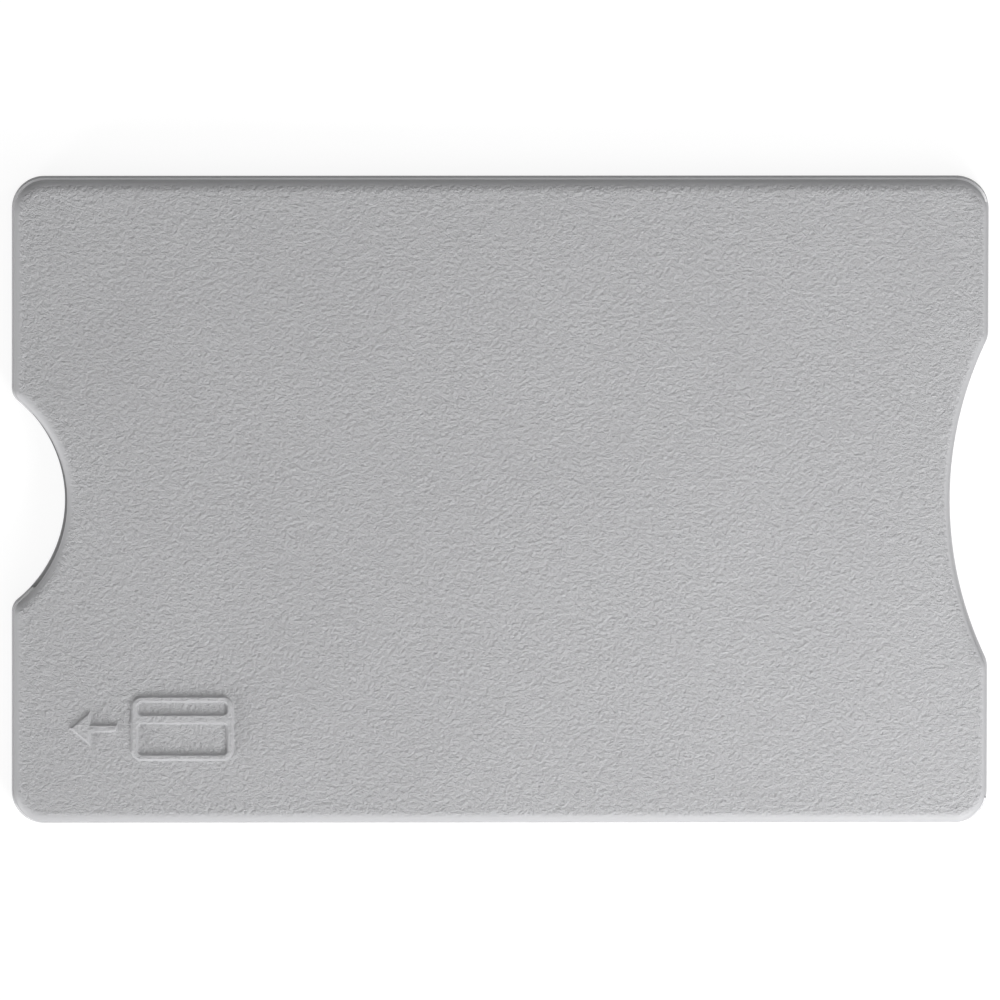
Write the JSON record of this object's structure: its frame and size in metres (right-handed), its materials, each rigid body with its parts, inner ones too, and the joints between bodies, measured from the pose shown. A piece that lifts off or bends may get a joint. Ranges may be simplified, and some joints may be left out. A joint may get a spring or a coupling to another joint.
{
  "type": "hard card case",
  "caption": "Rigid slim sleeve for a single identity-size card, with a thumb notch at the closed end, a shallow arc at the mouth and metal shielding in both walls.",
  "frame": {"origin": "middle of the footprint, on the surface that the case lies on", "axes": "+X along the case and out of the card slot's mouth, +Y across it, +Z out of the front face"},
  "size_m": [0.09, 0.06, 0.0043],
  "materials": {
    "shell_plastic": "spark-eroded grain on the flat faces, smooth on the rounded edge",
    "shield_metal": "rolled sheet"
  },
  "bodies": {
    "root": {"back_shell": "shell_plastic", "front_shell": "shell_plastic", "back_shield": "shield_metal", "front_shield": "shield_metal"}
  },
  "joints": []
}
